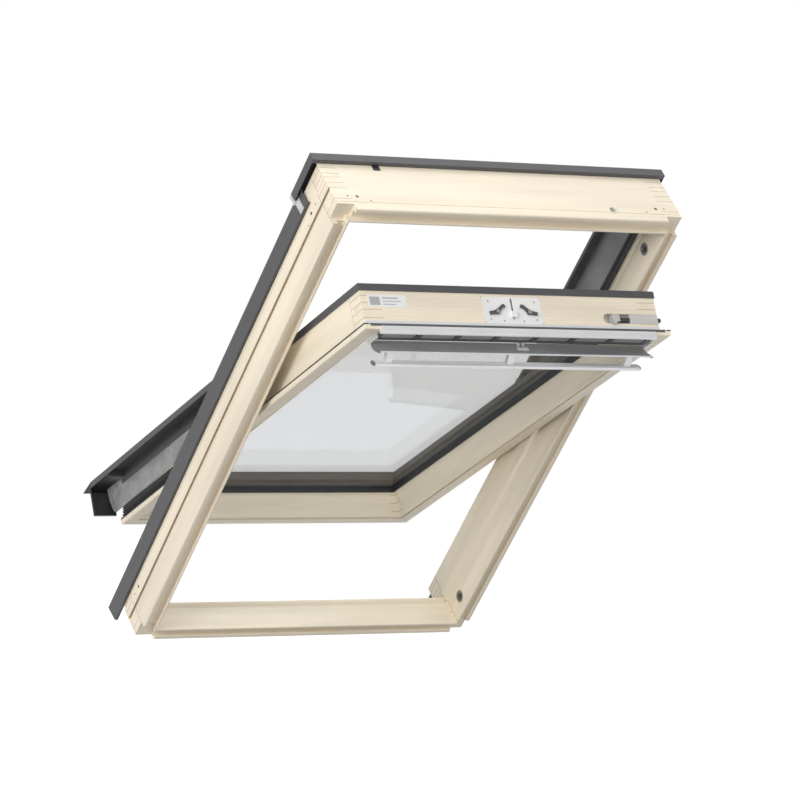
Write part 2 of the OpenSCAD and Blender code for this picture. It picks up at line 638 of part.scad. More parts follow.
// ---- ventilation ----
module vent_trim()
    color("Gainsboro") on_sash() {
        along_x(-bx + 1, bx - 1)
            polygon([[-by, 23.8], [-by - 1.5, 23.8], [-by - 2, flange_t + 3], [-fly - 1.5, flange_t + 1.5],
                [-fly - 1.5, 7.1], [-fly, 7.1], [-fly, flange_t], [-by, flange_t]]);
    }
module vent_bar()
    color("Gainsboro") on_sash()
        along_x(-flap_hw - 3, flap_hw + 3)
            polygon([[-fly - 1.5, 7], [-fly, 7], [-fly, 0], [-fly + 9, 0], [-fly + 9, -3], [-fly + 6, -7],
                [-fly + 2, -8.5], [-fly - 1, -7.5], [-fly - 2.5, -4], [-fly - 2.5, 2]]);
module vent_filter()
    color("LightGray") on_sash() box([-flap_hw + 6, -fly + 11, -1], [flap_hw - 6, -fly + 40, 0]);
module vent_grille()
    color("DimGray") on_sash() difference() {
        box([-flap_hw + 1, -fly + 9, -4], [flap_hw - 1, -fly + 42, 0]);
        box([-flap_hw + 6, -fly + 11, -1], [flap_hw - 6, -fly + 40, 1]);
        pitch = (2 * flap_hw - 18 + grille_rib) / grille_cells;
        for (i = [0:grille_cells - 1])
            box([-flap_hw + 9 + i * pitch, -fly + 12.5, -5],
                [-flap_hw + 9 + (i + 1) * pitch - grille_rib, -fly + 37, 1]);
    }
module flap_brackets()
    color("Silver") on_sash() both_x() {
        box([-flap_hw - 3.9, -fly + 20, flap_ax_z - 4], [-flap_hw - 0.9, flap_ax_y + 5, 0]);
        translate([-flap_hw - 2, flap_ax_y, flap_ax_z]) rotate([0, 90, 0]) cylinder(h = 10, r = 1.6);
    }
module flap_body()
    color("Gray") on_flap() difference() {
        union() {
            translate([-flap_hw, 0, 0]) rotate([0, 90, 0]) cylinder(h = 2 * flap_hw, r = 3.6);
            along_x(-flap_hw, flap_hw)
                polygon([[-2, -3.2], [0, 3.4], [-6, 0.5], [-20, -1.8], [-flap_w + 3, -0.6], [-flap_w, 0.8],
                    [-flap_w - 1.5, -1], [-flap_w + 1, -3], [-20, -4.4], [-6, -3.4]]);
        }
        for (s = [-1, 1]) translate([s * flap_hw - 10, 0, 0]) rotate([0, 90, 0]) cylinder(h = 20, r = 1.6 + run);
    }
module end_caps()
    color("DimGray") on_flap() both_x() {
        along_x(-bar_hw - 3, -bar_hw)
            polygon([[-10, -bar_out + 3], [-20, -bar_out + 3], [-22.5, -bar_out], [-20, -bar_out - 4],
                [-10, -bar_out - 4], [-7.5, -bar_out]]);
        difference() {
            along_x(-flap_hw - 0.5, -flap_hw)
                polygon([[-3.8, 0], [-6, 0.5], [-20, -1.8], [-flap_w + 3, -0.6], [-flap_w, 0.8],
                    [-flap_w - 2, -2], [-flap_w + 4, -6], [-20, -9], [-5, -6]]);
            translate([-flap_hw - 3, 0, 0]) rotate([0, 90, 0]) cylinder(h = 20, r = 3.7);
        }
    }
module bar_posts()
    color("LightGray") on_flap() for (x = [-270, 0, 270])
        translate([x * flap_hw / 307, 0, 0]) {
            box([-7, -20, -bar_out + 4], [7, -10, -4.45]);
        }
module control_bar()
    color("Gainsboro") on_flap()
        along_x(-bar_hw, bar_hw)
            polygon([[-9, -bar_out + 4], [-21, -bar_out + 4], [-23.5, -bar_out + 1.5], [-23.5, -bar_out - 2],
                [-21, -bar_out - 5], [-9, -bar_out - 5], [-6.5, -bar_out - 2], [-6.5, -bar_out + 1.5]]);
module link_bracket()
    color("WhiteSmoke") on_flap() difference() {
        along_x(10, 34) polygon([[-21, -1.7], [-20, -1.76], [-12, -0.45], [-12, 0.6], [-21, 0.6]]);
        box([18, -23, -0.2], [26, -10, 2]);
    }

frame_top_rail();
frame_bottom_rail();
frame_left_stile();
frame_right_stile();
frame_screws();
cable_grommet();
bolt_bushes();
frame_gaskets();
frame_cladding_left();
frame_cladding_right();
frame_top_casing();
casing_straps();
casing_clips();
upper_cover_left();
upper_cover_right();
side_linings();
lining_screws();
frame_bottom_cover();
frame_hinges();
lock_keeper();
sash_hinges();
sash_top_rail();
sash_bottom_rail();
sash_left_stile();
sash_right_stile();
inner_pane();
outer_pane();
spacer_bar();
edge_seal();
glazing_gaskets();
sash_gaskets();
sash_cap_left();
sash_cap_right();
sash_cap_top();
sash_cap_bottom();
lower_cover_left();
lower_cover_right();
bottom_cover();
cover_ends();
side_plate_left();
side_plate_right();
lock_casing();
lock_rivets();
claw_left();
claw_right();
lock_slider();
bolt_housing();
bolt();
vent_trim();
vent_bar();
vent_filter();
vent_grille();
flap_brackets();
flap_body();
end_caps();
bar_posts();
control_bar();
link_bracket();
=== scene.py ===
# Centre-pivot roof window, standing open without its wall.
import bmesh
import bpy
import math
from mathutils import Matrix, Vector


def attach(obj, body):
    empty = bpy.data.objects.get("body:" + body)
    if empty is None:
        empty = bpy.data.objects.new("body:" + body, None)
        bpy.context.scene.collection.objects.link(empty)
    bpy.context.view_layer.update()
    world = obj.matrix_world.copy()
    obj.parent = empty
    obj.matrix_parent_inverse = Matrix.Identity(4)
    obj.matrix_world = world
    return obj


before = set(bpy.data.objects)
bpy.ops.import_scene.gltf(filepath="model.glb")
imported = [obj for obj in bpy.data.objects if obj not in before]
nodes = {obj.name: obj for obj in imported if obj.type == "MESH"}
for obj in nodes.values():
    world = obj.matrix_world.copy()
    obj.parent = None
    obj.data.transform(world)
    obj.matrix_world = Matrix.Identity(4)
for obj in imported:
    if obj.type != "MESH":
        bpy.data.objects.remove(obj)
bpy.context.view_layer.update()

print("window frame loaded, parts:", len(nodes))

# the two slanted planes that the timber and the sheet metal follow
slope = {"roof": 45.0, "opened": 24.7, "pivotZ": 0.147, "sashZ": 0.030}
slope["sash"] = slope["roof"] - slope["opened"]


def turnX(degrees):
    return Matrix.Rotation(math.radians(degrees), 4, "X")


# from a place drawn on the closed sash to where the open sash has it
sashPlace = (turnX(-slope["roof"]) @ Matrix.Translation((0, 0, slope["pivotZ"])) @ turnX(slope["opened"])
             @ Matrix.Translation((0, 0, slope["sashZ"] - slope["pivotZ"])))


def deselectAll():
    if bpy.context.object and bpy.context.object.mode != "OBJECT":
        bpy.ops.object.mode_set(mode="OBJECT")
    bpy.ops.object.select_all(action="DESELECT")


def putInPlace(piece, place):
    # the piece's place goes into its mesh, its object stays at the origin
    piece.matrix_world = place @ piece.matrix_world
    deselectAll()
    piece.select_set(True)
    bpy.context.view_layer.objects.active = piece
    bpy.ops.object.transform_apply(location=True, rotation=True, scale=True)


def newMaterial(name):
    mat = bpy.data.materials.new(name)
    mat.use_nodes = True
    tree = mat.node_tree
    tree.nodes.clear()
    out = tree.nodes.new("ShaderNodeOutputMaterial")
    out.location = (900, 0)
    shader = tree.nodes.new("ShaderNodeBsdfPrincipled")
    shader.location = (560, 0)
    tree.links.new(shader.outputs["BSDF"], out.inputs["Surface"])
    coords = tree.nodes.new("ShaderNodeTexCoord")
    coords.location = (-900, 0)
    return mat, tree, shader, coords


def addNode(tree, kind, x, y, **settings):
    node = tree.nodes.new(kind)
    node.location = (x, y)
    for key, value in settings.items():
        setattr(node, key, value)
    return node


def addMath(tree, operation, x, y, first, second=None):
    node = addNode(tree, "ShaderNodeMath", x, y, operation=operation)
    for i, value in enumerate((first, second)):
        if value is None:
            continue
        if isinstance(value, (int, float)):
            node.inputs[i].default_value = value
        else:
            tree.links.new(value, node.inputs[i])
    return node.outputs[0]


def addMix(tree, x, y, factor, first, second, blend="MIX"):
    node = addNode(tree, "ShaderNodeMix", x, y, data_type="RGBA", blend_type=blend)
    for socket, value in ((node.inputs[0], factor), (node.inputs[6], first), (node.inputs[7], second)):
        if isinstance(value, (int, float)):
            socket.default_value = value
        elif isinstance(value, tuple):
            socket.default_value = (*value, 1.0)
        else:
            tree.links.new(value, socket)
    return node.outputs[2]


def addRange(tree, x, y, value, low, high, toLow, toHigh):
    node = addNode(tree, "ShaderNodeMapRange", x, y)
    node.inputs["From Min"].default_value = low
    node.inputs["From Max"].default_value = high
    node.inputs["To Min"].default_value = toLow
    node.inputs["To Max"].default_value = toHigh
    tree.links.new(value, node.inputs["Value"])
    return node.outputs["Result"]


def newGroup(name, inputs, outputs):
    group = bpy.data.node_groups.new(name, "ShaderNodeTree")
    for label, kind, value in inputs:
        socket = group.interface.new_socket(label, in_out="INPUT", socket_type=kind)
        if value is not None:
            socket.default_value = value
    for label, kind in outputs:
        group.interface.new_socket(label, in_out="OUTPUT", socket_type=kind)
    start = addNode(group, "NodeGroupInput", -900, 0)
    end = addNode(group, "NodeGroupOutput", 900, 0)
    return group, start, end


def useGroup(tree, group, x, y, vector, **values):
    node = addNode(tree, "ShaderNodeGroup", x, y, node_tree=group)
    tree.links.new(vector, node.inputs["Vector"])
    for key, value in values.items():
        node.inputs[key].default_value = value
    return node


def turned(tree, coords, x, y, degrees):
    # the pattern's own axes: along the slope of the frame or of the sash
    node = addNode(tree, "ShaderNodeMapping", x, y)
    node.inputs["Rotation"].default_value = (math.radians(degrees), 0, 0)
    tree.links.new(coords.outputs["Object"], node.inputs["Vector"])
    return node.outputs["Vector"]


def addBump(tree, shader, height, strength, distance):
    node = addNode(tree, "ShaderNodeBump", 340, -420)
    node.inputs["Strength"].default_value = strength
    node.inputs["Distance"].default_value = distance
    tree.links.new(height, node.inputs["Height"])
    tree.links.new(node.outputs["Normal"], shader.inputs["Normal"])


# grain that runs along the second axis of the vector it is given
def makeGrainGroup():
    group, start, end = newGroup(
        "pineGrain",
        [("Vector", "NodeSocketVector", None), ("Ring Width", "NodeSocketFloat", 0.006),
         ("Seed", "NodeSocketFloat", 0.0)],
        [("Rings", "NodeSocketFloat"), ("Fibre", "NodeSocketFloat"), ("Tone", "NodeSocketFloat")])
    link = group.links.new
    shift = addNode(group, "ShaderNodeVectorMath", -700, 200, operation="ADD")
    seedVector = addNode(group, "ShaderNodeCombineXYZ", -860, -160)
    link(start.outputs["Seed"], seedVector.inputs[0])
    link(start.outputs["Seed"], seedVector.inputs[1])
    link(start.outputs["Seed"], seedVector.inputs[2])
    link(start.outputs["Vector"], shift.inputs[0])
    link(seedVector.outputs[0], shift.inputs[1])
    # slow wander of the rings along the board
    stretch = addNode(group, "ShaderNodeVectorMath", -540, 320, operation="MULTIPLY")
    stretch.inputs[1].default_value = (9.0, 1.1, 9.0)
    link(shift.outputs[0], stretch.inputs[0])
    wander = addNode(group, "ShaderNodeTexNoise", -380, 320)
    wander.inputs["Scale"].default_value = 1.0
    wander.inputs["Detail"].default_value = 1.5
    link(stretch.outputs[0], wander.inputs["Vector"])
    parts = addNode(group, "ShaderNodeSeparateXYZ", -540, 80)
    link(shift.outputs[0], parts.inputs[0])
    across = addMath(group, "ADD", -380, 80, parts.outputs[0], parts.outputs[2])
    bent = addMath(group, "MULTIPLY_ADD", -200, 200, wander.outputs["Fac"], 0.045)
    link(across, bent.node.inputs[2])
    turns = addMath(group, "DIVIDE", -40, 200, bent)
    link(start.outputs["Ring Width"], turns.node.inputs[1])
    saw = addMath(group, "FRACT", 120, 200, turns)
    ring = addMath(group, "POWER", 280, 200, saw, 2.6)
    link(ring, end.inputs["Rings"])
    fine = addNode(group, "ShaderNodeVectorMath", -540, -160, operation="MULTIPLY")
    fine.inputs[1].default_value = (1100.0, 22.0, 1100.0)
    link(shift.outputs[0], fine.inputs[0])
    fibre = addNode(group, "ShaderNodeTexNoise", -380, -160)
    fibre.inputs["Scale"].default_value = 1.0
    fibre.inputs["Detail"].default_value = 2.0
    link(fine.outputs[0], fibre.inputs["Vector"])
    link(fibre.outputs["Fac"], end.inputs["Fibre"])
    broad = addNode(group, "ShaderNodeVectorMath", -540, -400, operation="MULTIPLY")
    broad.inputs[1].default_value = (28.0, 2.2, 28.0)
    link(shift.outputs[0], broad.inputs[0])
    tone = addNode(group, "ShaderNodeTexNoise", -380, -400)
    tone.inputs["Scale"].default_value = 1.0
    tone.inputs["Detail"].default_value = 3.0
    link(broad.outputs[0], tone.inputs["Vector"])
    link(tone.outputs["Fac"], end.inputs["Tone"])
    return group


# soft uneven tone and fine grit of a coated or cast surface
def makeSurfaceGroup():
    group, start, end = newGroup(
        "unevenSurface",
        [("Vector", "NodeSocketVector", None), ("Cloud Scale", "NodeSocketFloat", 6.0),
         ("Grit Scale", "NodeSocketFloat", 900.0)],
        [("Clouds", "NodeSocketFloat"), ("Grit", "NodeSocketFloat")])
    link = group.links.new
    clouds = addNode(group, "ShaderNodeTexNoise", -300, 160)
    clouds.inputs["Detail"].default_value = 4.0
    link(start.outputs["Vector"], clouds.inputs["Vector"])
    link(start.outputs["Cloud Scale"], clouds.inputs["Scale"])
    grit = addNode(group, "ShaderNodeTexNoise", -300, -160)
    grit.inputs["Detail"].default_value = 1.0
    link(start.outputs["Vector"], grit.inputs["Vector"])
    link(start.outputs["Grit Scale"], grit.inputs["Scale"])
    link(clouds.outputs["Fac"], end.inputs["Clouds"])
    link(grit.outputs["Fac"], end.inputs["Grit"])
    return group


# long fine lines of brushing or drawing along the first axis
def makeBrushGroup():
    group, start, end = newGroup(
        "drawnLines",
        [("Vector", "NodeSocketVector", None), ("Line Scale", "NodeSocketFloat", 1500.0)],
        [("Lines", "NodeSocketFloat"), ("Smudge", "NodeSocketFloat")])
    link = group.links.new
    stretch = addNode(group, "ShaderNodeVectorMath", -540, 120, operation="MULTIPLY")
    stretch.inputs[1].default_value = (0.012, 1.0, 1.0)
    link(start.outputs["Vector"], stretch.inputs[0])
    lines = addNode(group, "ShaderNodeTexNoise", -340, 120)
    lines.inputs["Detail"].default_value = 2.0
    link(stretch.outputs[0], lines.inputs["Vector"])
    link(start.outputs["Line Scale"], lines.inputs["Scale"])
    smudge = addNode(group, "ShaderNodeTexNoise", -340, -160)
    smudge.inputs["Scale"].default_value = 14.0
    smudge.inputs["Detail"].default_value = 3.0
    link(start.outputs["Vector"], smudge.inputs["Vector"])
    link(lines.outputs["Fac"], end.inputs["Lines"])
    link(smudge.outputs["Fac"], end.inputs["Smudge"])
    return group


grainGroup = makeGrainGroup()
surfaceGroup = makeSurfaceGroup()
brushGroup = makeBrushGroup()
print("shader groups made")

# lacquered pine, eight boards; one dark line colour serves the finger joints' glue and the painted groove
# shadow
pine = {"early": (0.895, 0.80, 0.64), "late": (0.82, 0.695, 0.505), "glueAndGrooveShade": (0.30, 0.20, 0.11),
        "ringWidth": 0.0075, "ringShare": 0.34, "lineWidth": 0.0005, "lineShare": 0.8,
        "grooveShadeWidth": 0.0007, "grooveFace": 0.3855, "roughness": 0.46, "coat": 0.12,
        "coatRoughness": 0.28, "relief": 0.16, "reliefDepth": 0.0004}
# heights of the painted groove shadow lines on a stile's outer face
grooveShadeLines = {"roof": [0.0375, 0.0452, 0.0745], "sash": []}
fingerHeights = {"roof": [0.0145, 0.0445, 0.060, 0.0755, 0.0865, 0.1015],
                 "sash": [0.013, 0.030, 0.047, 0.061, 0.075]}


def pineMaterial(name, plane, along, seed, corner):
    # plane: the slope the board lies in; along: "x" or "y"; corner: where the finger joint starts
    mat, tree, shader, coords = newMaterial(name)
    flat = turned(tree, coords, -700, 0, slope[plane])
    board = flat
    if along == "x":
        swap = addNode(tree, "ShaderNodeMapping", -520, 200)
        swap.inputs["Rotation"].default_value = (0, 0, math.radians(90))
        tree.links.new(flat, swap.inputs["Vector"])
        board = swap.outputs["Vector"]
    grain = useGroup(tree, grainGroup, -320, 160, board, **{"Ring Width": pine["ringWidth"], "Seed": seed})
    ringShare = addMath(tree, "MULTIPLY", -120, 220, grain.outputs["Rings"], pine["ringShare"])
    colour = addMix(tree, 40, 220, ringShare, pine["early"], pine["late"])
    toneShare = addRange(tree, -120, 20, grain.outputs["Tone"], 0.3, 0.7, 0.90, 1.06)
    fibreShare = addRange(tree, -120, -160, grain.outputs["Fibre"], 0.3, 0.7, 0.965, 1.03)
    shade = addMath(tree, "MULTIPLY", 40, -60, toneShare, fibreShare)
    colour = addMix(tree, 200, 160, 1.0, colour, shade, "MULTIPLY")
    # thin glue lines between the fingers of the corner joints
    parts = addNode(tree, "ShaderNodeSeparateXYZ", -520, -340)
    tree.links.new(flat, parts.inputs[0])
    height = parts.outputs[2]
    if plane == "sash":
        height = addMath(tree, "ADD", -360, -420, height, corner["lift"])
    lines = None
    for level in fingerHeights[plane]:
        near = addMath(tree, "COMPARE", -200, -420, height, level)
        near.node.inputs[2].default_value = pine["lineWidth"]
        lines = near if lines is None else addMath(tree, "MAXIMUM", -60, -420, lines, near)
    reachX = addMath(tree, "ABSOLUTE", -360, -620, parts.outputs[0])
    farX = addMath(tree, "GREATER_THAN", -200, -620, reachX, corner["x"])
    shiftY = addMath(tree, "SUBTRACT", -460, -760, parts.outputs[1], corner.get("midY", 0.0))
    reachY = addMath(tree, "ABSOLUTE", -360, -760, shiftY)
    farY = addMath(tree, "GREATER_THAN", -200, -760, reachY, corner["y"])
    both = addMath(tree, "MULTIPLY", -40, -680, farX, farY)
    lines = addMath(tree, "MULTIPLY", 100, -520, lines, both)
    # the ends of the fingers, across the board
    tip = addMath(tree, "COMPARE", -200, -900, reachY, corner["y"])
    tip.node.inputs[2].default_value = pine["lineWidth"]
    tips = addMath(tree, "MULTIPLY", -40, -900, tip, farX)
    lines = addMath(tree, "MAXIMUM", 160, -620, lines, tips)
    # painted shadow lines of the long grooves in a stile's outer face
    outside = addMath(tree, "GREATER_THAN", -200, -1040, reachX, pine["grooveFace"])
    for level in grooveShadeLines[plane] if along == "y" else []:
        near = addMath(tree, "COMPARE", -200, -1120, height, level)
        near.node.inputs[2].default_value = pine["grooveShadeWidth"]
        lines = addMath(tree, "MAXIMUM", 200, -700, lines, addMath(tree, "MULTIPLY", 0, -1100, near, outside))
    lines = addMath(tree, "MULTIPLY", 240, -520, lines, pine["lineShare"])
    # glue lines of the joints and the painted groove shadow, in one dark colour
    colour = addMix(tree, 380, 160, lines, colour, pine["glueAndGrooveShade"])
    tree.links.new(colour, shader.inputs["Base Color"])
    rough = addRange(tree, 200, -200, grain.outputs["Fibre"], 0.2, 0.8,
                     pine["roughness"] - 0.05, pine["roughness"] + 0.07)
    tree.links.new(rough, shader.inputs["Roughness"])
    shader.inputs["Coat Weight"].default_value = pine["coat"]
    shader.inputs["Coat Roughness"].default_value = pine["coatRoughness"]
    relief = addMath(tree, "MULTIPLY_ADD", 160, -380, grain.outputs["Fibre"], 0.6)
    tree.links.new(grain.outputs["Rings"], relief.node.inputs[2])
    addBump(tree, shader, relief, pine["relief"], pine["reliefDepth"])
    return mat


def dress(names, mat):
    for name in names:
        for entry in nodes[name].material_slots:
            entry.material = mat


frameCorner = {"x": 0.3515, "y": 0.5505}
sashCorner = {"x": 0.290, "y": 0.485, "lift": 0.0, "midY": 0.0}
# where the closed sash's middle and room face lie once it is turned into its own slope
sashMiddle = turnX(slope["sash"]) @ (sashPlace @ Vector((0, 0, 0)))
sashCorner["lift"] = -sashMiddle.z
sashCorner["midY"] = sashMiddle.y
boards = {"frame_top_rail": ("pineFrameTop", "roof", "x", 0.37),
          "frame_bottom_rail": ("pineFrameSill", "roof", "x", 1.91),
          "frame_left_stile": ("pineFrameLeft", "roof", "y", 3.13),
          "frame_right_stile": ("pineFrameRight", "roof", "y", 4.71),
          "sash_top_rail": ("pineSashTop", "sash", "x", 5.83),
          "sash_bottom_rail": ("pineSashBottom", "sash", "x", 6.29),
          "sash_left_stile": ("pineSashLeft", "sash", "y", 7.43),
          "sash_right_stile": ("pineSashRight", "sash", "y", 8.17)}
for part, (name, plane, along, seed) in boards.items():
    dress([part], pineMaterial(name, plane, along, seed, frameCorner if plane == "roof" else sashCorner))
print("pine boards finished")


def coatedMaterial(name, plane, look):
    # look: colour, change of tone, speck, roughness, relief, scales, metal share and coat
    mat, tree, shader, coords = newMaterial(name)
    flat = turned(tree, coords, -700, 0, slope[plane])
    surface = useGroup(tree, surfaceGroup, -420, 0, flat,
                       **{"Cloud Scale": look.get("cloudScale", 7.0),
                          "Grit Scale": look.get("gritScale", 1100.0)})
    tone = addRange(tree, -160, 160, surface.outputs["Clouds"], 0.3, 0.7,
                    1.0 - look["tone"], 1.0 + look["tone"])
    speck = addRange(tree, -160, -40, surface.outputs["Grit"], 0.3, 0.7,
                     1.0 - look["speck"], 1.0 + look["speck"])
    shade = addMath(tree, "MULTIPLY", 60, 80, tone, speck)
    colour = addMix(tree, 240, 160, 1.0, look["colour"], shade, "MULTIPLY")
    tree.links.new(colour, shader.inputs["Base Color"])
    rough = addRange(tree, 60, -160, surface.outputs["Clouds"], 0.25, 0.75,
                     look["roughness"] - 0.05, look["roughness"] + 0.06)
    tree.links.new(rough, shader.inputs["Roughness"])
    shader.inputs["Metallic"].default_value = look.get("metal", 0.0)
    shader.inputs["Coat Weight"].default_value = look.get("coat", 0.0)
    shader.inputs["Coat Roughness"].default_value = 0.3
    addBump(tree, shader, surface.outputs["Grit"], look.get("relief", 0.1), 0.0003)
    return mat


def drawnMaterial(name, plane, look):
    # aluminium and steel with long drawing lines along the window's width
    mat, tree, shader, coords = newMaterial(name)
    flat = turned(tree, coords, -700, 0, slope[plane])
    lines = useGroup(tree, brushGroup, -420, 0, flat, **{"Line Scale": look.get("lineScale", 1500.0)})
    tone = addRange(tree, -160, 160, lines.outputs["Lines"], 0.3, 0.7, 1.0 - look["tone"], 1.0 + look["tone"])
    smudge = addRange(tree, -160, -40, lines.outputs["Smudge"], 0.3, 0.7, 0.95, 1.04)
    shade = addMath(tree, "MULTIPLY", 60, 80, tone, smudge)
    colour = look["colour"]
    # listed bands of painted shade and painted highlight, each at a height above the sash's room face
    for middle, half, bandColour in look.get("shadeAndHighlightBands", []):
        level = addNode(tree, "ShaderNodeSeparateXYZ", -300, 420)
        tree.links.new(flat, level.inputs[0])
        height = addMath(tree, "ADD", -160, 420, level.outputs[2], sashCorner["lift"])
        band = addMath(tree, "COMPARE", -20, 420, height, middle)
        band.node.inputs[2].default_value = half
        colour = addMix(tree, 120, 420, band, colour, bandColour)
    if "darkPast" in look:
        place = addNode(tree, "ShaderNodeSeparateXYZ", -160, 340)
        tree.links.new(flat, place.inputs[0])
        thin = addMath(tree, "GREATER_THAN", 20, 340, place.outputs[0], look["darkPast"])
        colour = addMix(tree, 120, 300, thin, colour, look["dark"])
    colour = addMix(tree, 240, 160, 1.0, colour, shade, "MULTIPLY")
    tree.links.new(colour, shader.inputs["Base Color"])
    rough = addRange(tree, 60, -160, lines.outputs["Lines"], 0.25, 0.75,
                     look["roughness"] - 0.06, look["roughness"] + 0.08)
    tree.links.new(rough, shader.inputs["Roughness"])
    shader.inputs["Metallic"].default_value = look.get("metal", 1.0)
    addBump(tree, shader, lines.outputs["Lines"], look.get("relief", 0.08), 0.0002)
    return mat


def zincMaterial(name, plane, look):
    # hot-dip zinc: soft crystals of slightly different greys with duller clouds
    mat, tree, shader, coords = newMaterial(name)
    flat = turned(tree, coords, -700, 0, slope[plane])
    crystal = addNode(tree, "ShaderNodeTexVoronoi", -420, 220)
    crystal.inputs["Scale"].default_value = look["crystal"]
    tree.links.new(flat, crystal.inputs["Vector"])
    grey = addNode(tree, "ShaderNodeRGBToBW", -240, 220)
    tree.links.new(crystal.outputs["Color"], grey.inputs[0])
    surface = useGroup(tree, surfaceGroup, -420, -60, flat, **{"Cloud Scale": 16.0, "Grit Scale": 500.0})
    facet = addRange(tree, -60, 220, grey.outputs[0], 0.2, 0.8, 0.90, 1.10)
    cloud = addRange(tree, -60, 0, surface.outputs["Clouds"], 0.3, 0.7, 0.82, 1.14)
    shade = addMath(tree, "MULTIPLY", 100, 100, facet, cloud)
    colour = addMix(tree, 260, 160, 1.0, look["colour"], shade, "MULTIPLY")
    tree.links.new(colour, shader.inputs["Base Color"])
    rough = addRange(tree, 100, -160, grey.outputs[0], 0.1, 0.9,
                     look["roughness"] - 0.08, look["roughness"] + 0.1)
    tree.links.new(rough, shader.inputs["Roughness"])
    shader.inputs["Metallic"].default_value = look.get("metal", 0.8)
    addBump(tree, shader, surface.outputs["Grit"], 0.06, 0.0003)
    return mat


def glassMaterial(name, look):
    mat, tree, shader, coords = newMaterial(name)
    flat = turned(tree, coords, -700, 0, slope["sash"])
    surface = useGroup(tree, surfaceGroup, -420, 0, flat, **{"Cloud Scale": 5.0, "Grit Scale": 60.0})
    tint = addMix(tree, 0, 120, surface.outputs["Clouds"], look["colour"], look["second"])
    tree.links.new(tint, shader.inputs["Base Color"])
    rough = addRange(tree, 0, -120, surface.outputs["Clouds"], 0.3, 0.7, 0.0, look["roughness"])
    tree.links.new(rough, shader.inputs["Roughness"])
    shader.inputs["Transmission Weight"].default_value = 1.0
    shader.inputs["IOR"].default_value = look["bend"]
    # daylight goes through the pane to what lies behind it
    clear = addNode(tree, "ShaderNodeBsdfTransparent", 560, -320)
    clear.inputs["Color"].default_value = look["shadow"]
    path = addNode(tree, "ShaderNodeLightPath", 560, 320)
    mix = addNode(tree, "ShaderNodeMixShader", 760, 60)
    tree.links.new(path.outputs["Is Shadow Ray"], mix.inputs[0])
    tree.links.new(shader.outputs["BSDF"], mix.inputs[1])
    tree.links.new(clear.outputs[0], mix.inputs[2])
    out = next(n for n in tree.nodes if n.type == "OUTPUT_MATERIAL")
    tree.links.new(mix.outputs[0], out.inputs["Surface"])
    return mat


# coated sheet, rubber and mouldings: the slope they follow, their parts and their look
rubber = {"colour": (0.014, 0.014, 0.015), "tone": 0.2, "speck": 0.12, "roughness": 0.62, "relief": 0.25}
lacquer = {"colour": (0.082, 0.082, 0.087), "tone": 0.06, "speck": 0.05, "roughness": 0.50, "relief": 0.12}
coated = {
    "greyLacquerFrame": ("roof", ["frame_cladding_left", "frame_cladding_right", "frame_top_casing",
                                  "upper_cover_left", "upper_cover_right", "frame_bottom_cover"], lacquer),
    "greyLacquerSash": ("sash", ["sash_cap_left", "sash_cap_right", "sash_cap_top", "sash_cap_bottom",
                                 "lower_cover_left", "lower_cover_right", "bottom_cover"], lacquer),
    "greyLining": ("roof", ["side_linings"],
                   {"colour": (0.23, 0.23, 0.235), "tone": 0.14, "speck": 0.06, "roughness": 0.5,
                    "relief": 0.1, "cloudScale": 14.0}),
    "blackClip": ("roof", ["casing_clips"],
                  {"colour": (0.012, 0.012, 0.013), "tone": 0.15, "speck": 0.1, "roughness": 0.5,
                   "relief": 0.2}),
    "blackCoverEnd": ("sash", ["cover_ends"],
                      {"colour": (0.012, 0.012, 0.013), "tone": 0.15, "speck": 0.1, "roughness": 0.48,
                       "relief": 0.2}),
    "rubberFrame": ("roof", ["frame_gaskets"], rubber),
    "rubberSash": ("sash", ["sash_gaskets", "glazing_gaskets", "edge_seal"], rubber),
    "ivorySleeve": ("roof", ["cable_grommet"],
                    {"colour": (0.72, 0.70, 0.62), "tone": 0.04, "speck": 0.03, "roughness": 0.42,
                     "relief": 0.08}),
    "whiteLockSteel": ("sash", ["lock_casing", "lock_slider", "link_bracket"],
                       {"colour": (0.84, 0.84, 0.83), "tone": 0.05, "speck": 0.03, "roughness": 0.34,
                        "relief": 0.06, "coat": 0.2}),
    "filterFleece": ("sash", ["vent_filter"],
                     {"colour": (0.50, 0.50, 0.50), "tone": 0.06, "speck": 0.3, "roughness": 0.9,
                      "relief": 0.6, "gritScale": 1600.0}),
    "greyMoulding": ("sash", ["vent_grille", "end_caps"],
                     {"colour": (0.14, 0.14, 0.145), "tone": 0.06, "speck": 0.06, "roughness": 0.45,
                      "relief": 0.12})}
for name, (plane, parts, look) in coated.items():
    dress(parts, coatedMaterial(name, plane, look))

